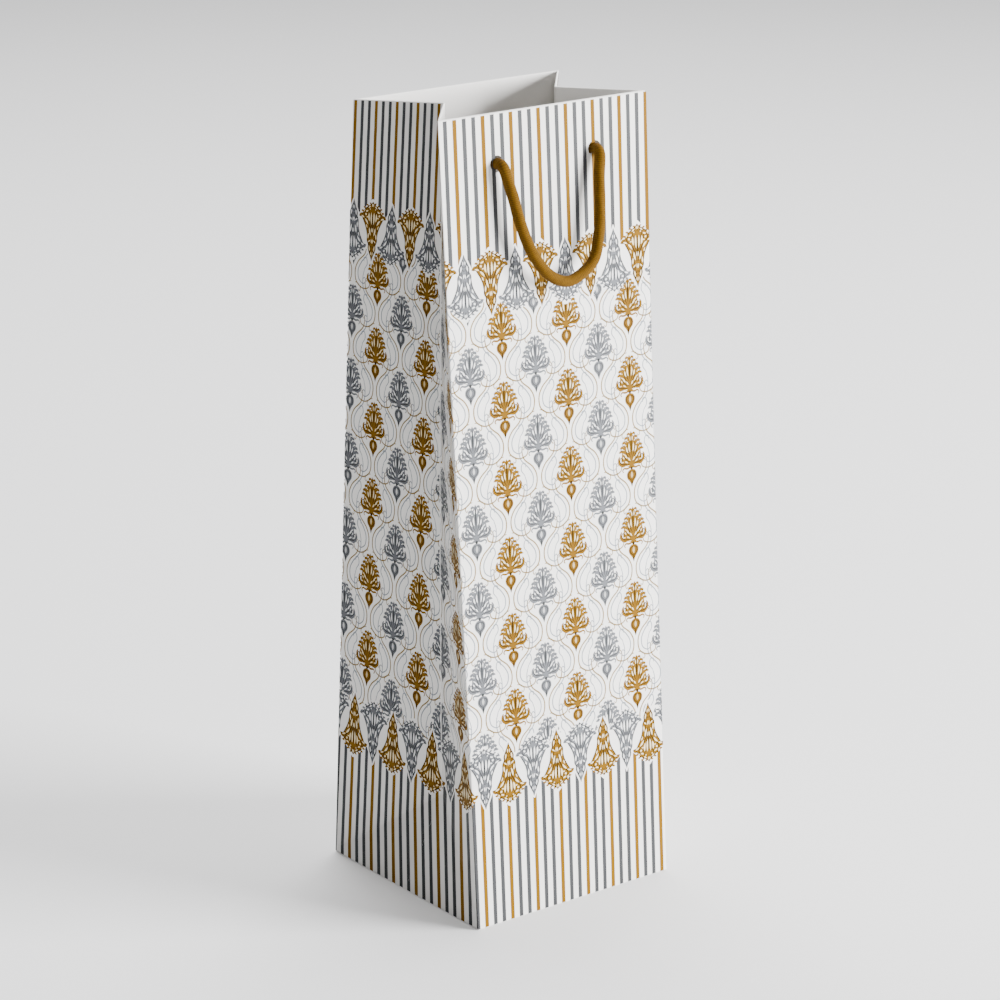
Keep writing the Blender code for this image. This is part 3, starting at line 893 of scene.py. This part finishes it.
def addRelief(tree, height, depth, shader):
    relief = tree.nodes.new("ShaderNodeBump")
    relief.inputs["Distance"].default_value = depth
    relief.inputs["Strength"].default_value = 0.6
    tree.links.new(height, relief.inputs["Height"])
    tree.links.new(relief.outputs["Normal"], shader.inputs["Normal"])


def surfaceGrain():
    # mottled tone and a fine height, used by the papers, the card and the inks, each at its own scale
    group, entry, exit_ = nodeGroup("surfaceGrain", [
        ("Scale", "NodeSocketFloat", 400.0), ("Mottle", "NodeSocketFloat", 0.05),
        ("Color", "NodeSocketColor", (0.8, 0.8, 0.8, 1.0))],
        [("Color", "NodeSocketColor"), ("Height", "NodeSocketFloat"), ("Tone", "NodeSocketFloat")])
    links = group.links
    fine, broad = noiseNode(group, 4.0), noiseNode(group, 3.0)
    fine.inputs["Roughness"].default_value = 0.6
    links.new(entry.outputs["Scale"], fine.inputs["Scale"])
    broad.inputs["Scale"].default_value = 26.0
    both = mathNode(group, "MULTIPLY_ADD", fine.outputs["Fac"], 0.5,
                    mathNode(group, "MULTIPLY", broad.outputs["Fac"], 0.5))
    centred = mathNode(group, "SUBTRACT", both, 0.5)
    shade = mathNode(group, "MULTIPLY_ADD", centred, entry.outputs["Mottle"], 1.0)
    tint = group.nodes.new("ShaderNodeVectorMath")
    tint.operation = "SCALE"
    links.new(entry.outputs["Color"], tint.inputs[0])
    links.new(shade, tint.inputs["Scale"])
    links.new(tint.outputs[0], exit_.inputs["Color"])
    links.new(fine.outputs["Fac"], exit_.inputs["Height"])
    links.new(both, exit_.inputs["Tone"])
    return group


grainGroup = surfaceGrain()


def newMaterial(name, roughness, specular=0.5):
    material = bpy.data.materials.new(name)
    material.use_nodes = True
    shader = material.node_tree.nodes["Principled BSDF"]
    shader.inputs["Roughness"].default_value = roughness
    shader.inputs["Specular IOR Level"].default_value = specular
    return material, shader


def grainMaterial(name, colour, roughness, scale, mottle, bump, roughSpread=0.0, specular=0.3):
    material, shader = newMaterial(name, roughness, specular)
    nodes, links = material.node_tree.nodes, material.node_tree.links
    grain = nodes.new("ShaderNodeGroup")
    grain.node_tree = grainGroup
    grain.inputs["Scale"].default_value = scale
    grain.inputs["Mottle"].default_value = mottle
    grain.inputs["Color"].default_value = (*colour, 1.0)
    links.new(grain.outputs["Color"], shader.inputs["Base Color"])
    if roughSpread:
        spread = nodes.new("ShaderNodeMapRange")
        spread.inputs["From Min"].default_value = 0.3
        spread.inputs["From Max"].default_value = 0.7
        spread.inputs["To Min"].default_value = roughness - roughSpread
        spread.inputs["To Max"].default_value = roughness + roughSpread
        links.new(grain.outputs["Tone"], spread.inputs["Value"])
        links.new(spread.outputs["Result"], shader.inputs["Roughness"])
    if bump:
        addRelief(material.node_tree, grain.outputs["Height"], bump, shader)
    return material


materialSettings = {
    "coatedPaper": dict(colour=(0.84, 0.825, 0.80), roughness=0.55, scale=900.0, mottle=0.05, bump=0.00002,
                        roughSpread=0.06),
    "plainPaper": dict(colour=(0.86, 0.855, 0.845), roughness=0.7, scale=700.0, mottle=0.06, bump=0.00003,
                       roughSpread=0.05),
    "greyCard": dict(colour=(0.70, 0.67, 0.61), roughness=0.85, scale=500.0, mottle=0.16, bump=0.00006,
                     roughSpread=0.05),
}
# inks differ from these values where they say so
inkBase = dict(roughness=0.6, scale=1500.0, mottle=0.2, bump=0.0, roughSpread=0.05, specular=0.1)
inkSettings = {
    "goldInk": dict(colour=(0.178, 0.084, 0.003), mottle=0.5, roughSpread=0.08, specular=0.06),
    "deepGoldInk": dict(colour=(0.050, 0.022, 0.0005), mottle=0.5, roughSpread=0.08, specular=0.06),
    "creamInk": dict(colour=(0.80, 0.66, 0.40)),
    "greyInk": dict(colour=(0.036, 0.037, 0.040), mottle=0.5, roughSpread=0.08, specular=0.25),
    "deepGreyInk": dict(colour=(0.026, 0.028, 0.031), mottle=0.5, roughSpread=0.08, specular=0.3),
    "softGreyInk": dict(colour=(0.110, 0.117, 0.129), mottle=0.3, specular=0.3),
    "whiteInk": dict(colour=(0.78, 0.78, 0.78), mottle=0.1, specular=0.2),
    "beigeInk": dict(colour=(0.20, 0.13, 0.040), scale=900.0),
    "mistInk": dict(colour=(0.20, 0.225, 0.255), scale=900.0),
}
materials = {name: grainMaterial(name, **values) for name, values in materialSettings.items()}
materials.update({name: grainMaterial(name, **{**inkBase, **values}) for name, values in inkSettings.items()})

ropeFinish = {
    # dark and light are the ends of the rope's colour ramp: random fibre tone, plus painted shade that darkens the
    # grooves between the ribs
    "dark": (0.060, 0.026, 0.0004),
    "light": (0.130, 0.062, 0.0008),
    "ribs": 12.0,              # in each centimetre
    # ribDepth sets the relief of the ribs and also how much painted shade their grooves get
    "ribDepth": 0.16,
    "fibreScale": 1600.0,
    "bump": 0.00008,
    "roughness": 0.8,
    "specular": 0.08,
}


def ropeMaterial():
    # fine ribs follow the rope's own length and turn; they are a relief, and their grooves also carry painted shade in
    # the colour
    material, shader = newMaterial("twistedRope", ropeFinish["roughness"], ropeFinish["specular"])
    tree = material.node_tree
    place = tree.nodes.new("ShaderNodeUVMap")
    place.uv_map = "ropeLength"
    split = tree.nodes.new("ShaderNodeSeparateXYZ")
    tree.links.new(place.outputs["UV"], split.inputs[0])
    along = mathNode(tree, "MULTIPLY", split.outputs["Y"], ropeFinish["ribs"])
    slant = mathNode(tree, "MULTIPLY_ADD", split.outputs["X"], 1.0, along)     # ribs lean a little round the rope
    rib = mathNode(tree, "SINE", mathNode(tree, "MULTIPLY", slant, math.tau))
    fibre = noiseNode(tree, 4.0)
    fibre.inputs["Scale"].default_value = ropeFinish["fibreScale"]
    height = mathNode(tree, "MULTIPLY_ADD", rib, ropeFinish["ribDepth"], fibre.outputs["Fac"])
    # the ramp reads the same height as the relief: the fibre noise gives random tone, and the ribs add painted shade
    # in the grooves and a lighter tone on the crests
    ramp = tree.nodes.new("ShaderNodeValToRGB")
    for element, position, colour in zip(ramp.color_ramp.elements, (0.15, 0.85), ("dark", "light")):
        element.position = position
        element.color = (*ropeFinish[colour], 1)
    tree.links.new(height, ramp.inputs["Fac"])
    tree.links.new(ramp.outputs["Color"], shader.inputs["Base Color"])
    addRelief(tree, height, ropeFinish["bump"], shader)
    shader.inputs["Sheen Weight"].default_value = 0.02
    shader.inputs["Sheen Roughness"].default_value = 0.5
    return material


materials["twistedRope"] = ropeMaterial()
for rope in ropes:
    rope.data.materials.append(materials["twistedRope"])
coverWith(shell, materials["coatedPaper"])
print("materials made")

for colour in ("gold", "grey"):
    stripePiece(colour + "Stripes", colour, materials[colour + "Ink"])
for name, colour, layer, ink in (
        ("goldOrnaments", "gold", "body", "goldInk"), ("goldShading", "gold", "deep", "deepGoldInk"),
        ("goldOpenings", "gold", "open", "creamInk"), ("greyOrnaments", "grey", "body", "softGreyInk"),
        ("greyShading", "grey", "deep", "deepGreyInk"), ("greyOpenings", "grey", "open", "whiteInk")):
    inkPiece(name, colour, layer, materials[ink])
for shade in ("beige", "mist"):
    linePiece(shade + "Scrolls", shade, materials[shade + "Ink"])
print("print laid on the paper")


knotShape = {
    "inFromPanel": 0.0062,     # beside the turned-over top
    "radius": 0.0024,
    "turns": 1.75,
    "reach": 0.0027,
    "length": 0.0062,
    "tailOut": 0.0045,
    "tailDrop": 0.0055,
}


def makeKnot(label, side, across):
    # the rope goes in, wraps once and a half round itself, and leaves a short tail that droops
    start = -knotShape["inFromPanel"] - bagShape["hemDepthPanel"]
    route = []
    for step in range(28):
        t = step / 27
        angle = math.tau * knotShape["turns"] * t
        reach = knotShape["reach"] * math.sin(math.pi * min(1, t * 1.1)) + 0.0005
        out = start - 0.0005 - knotShape["length"] * t
        route.append((across + reach * math.cos(angle), out, ropeShape["holeHeight"] + reach * math.sin(angle)))
    last = route[-1]
    for step in range(1, 8):
        t = step / 7
        route.append((last[0] + 0.001 * t, last[1] - knotShape["tailOut"] * t,
                      last[2] - knotShape["tailDrop"] * t * t))
    line = relaxed(smoothLine([offPanel(side, *point) for point in route], 0.0004), 6)
    mesh = ropeMesh(label, line, knotShape["radius"], sides=20)
    return addPiece(label, mesh, "bag", materials["twistedRope"])


for side, label in ((-1, "front"), (1, "back")):
    for across, hand in ((-1, "Left"), (1, "Right")):
        knot = makeKnot(label + "Knot" + hand, side, across * ropeShape["spacing"] / 2)
        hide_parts(label + "_knot_" + hand.lower())

finishes = {"side_seam_flap": "plainPaper", "base_board": "greyCard", "front_strip": "greyCard",
            "back_strip": "greyCard"}
for node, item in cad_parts.items():
    finish = "plainPaper" if node.startswith("bottom_flap") else finishes.get(node)
    if finish:
        coverWith(item, materials[finish])
print("knots tied, flaps and card finished")


stageSettings = {
    "floorSize": 12.0,
    "floorColour": (0.88, 0.88, 0.885, 1.0),
    "worldStrength": 0.10,
    "aim": (0, 0, 0.18),
}
lightSettings = {
    "keyLight": dict(position=(1.7, -1.9, 0.75), size=1.3, power=300),
    "fillLight": dict(position=(-2.2, -0.6, 1.4), size=1.6, power=1),
    "topLight": dict(position=(0.5, 0.8, 2.5), size=2.0, power=135),
}


def addStage():
    bm = bmesh.new()
    bmesh.ops.create_grid(bm, x_segments=1, y_segments=1, size=stageSettings["floorSize"] / 2)
    mesh = bpy.data.meshes.new("studioFloor")
    bm.to_mesh(mesh)
    bm.free()
    floor = putInScene("studioFloor", mesh)
    floor.location.z = -0.00005
    material, shader = newMaterial("studioFloor", 0.9, 0.1)
    shader.inputs["Base Color"].default_value = stageSettings["floorColour"]
    mesh.materials.append(material)


def addLight(name, position, size, power):
    data = bpy.data.lights.new(name, "AREA")
    data.shape = "SQUARE"
    data.size = size
    data.energy = power
    light = putInScene(name, data)
    light.location = position
    aim = Vector(stageSettings["aim"]) - light.location
    light.rotation_euler = aim.to_track_quat("-Z", "Y").to_euler()


addStage()
for name, values in lightSettings.items():
    addLight(name, **values)
world = bpy.data.worlds.new("studioWorld")
bpy.context.scene.world = world
world.use_nodes = True
sky = world.node_tree.nodes["Background"]
sky.inputs["Color"].default_value = (1, 1, 1, 1)
sky.inputs["Strength"].default_value = stageSettings["worldStrength"]
print("stage lit")
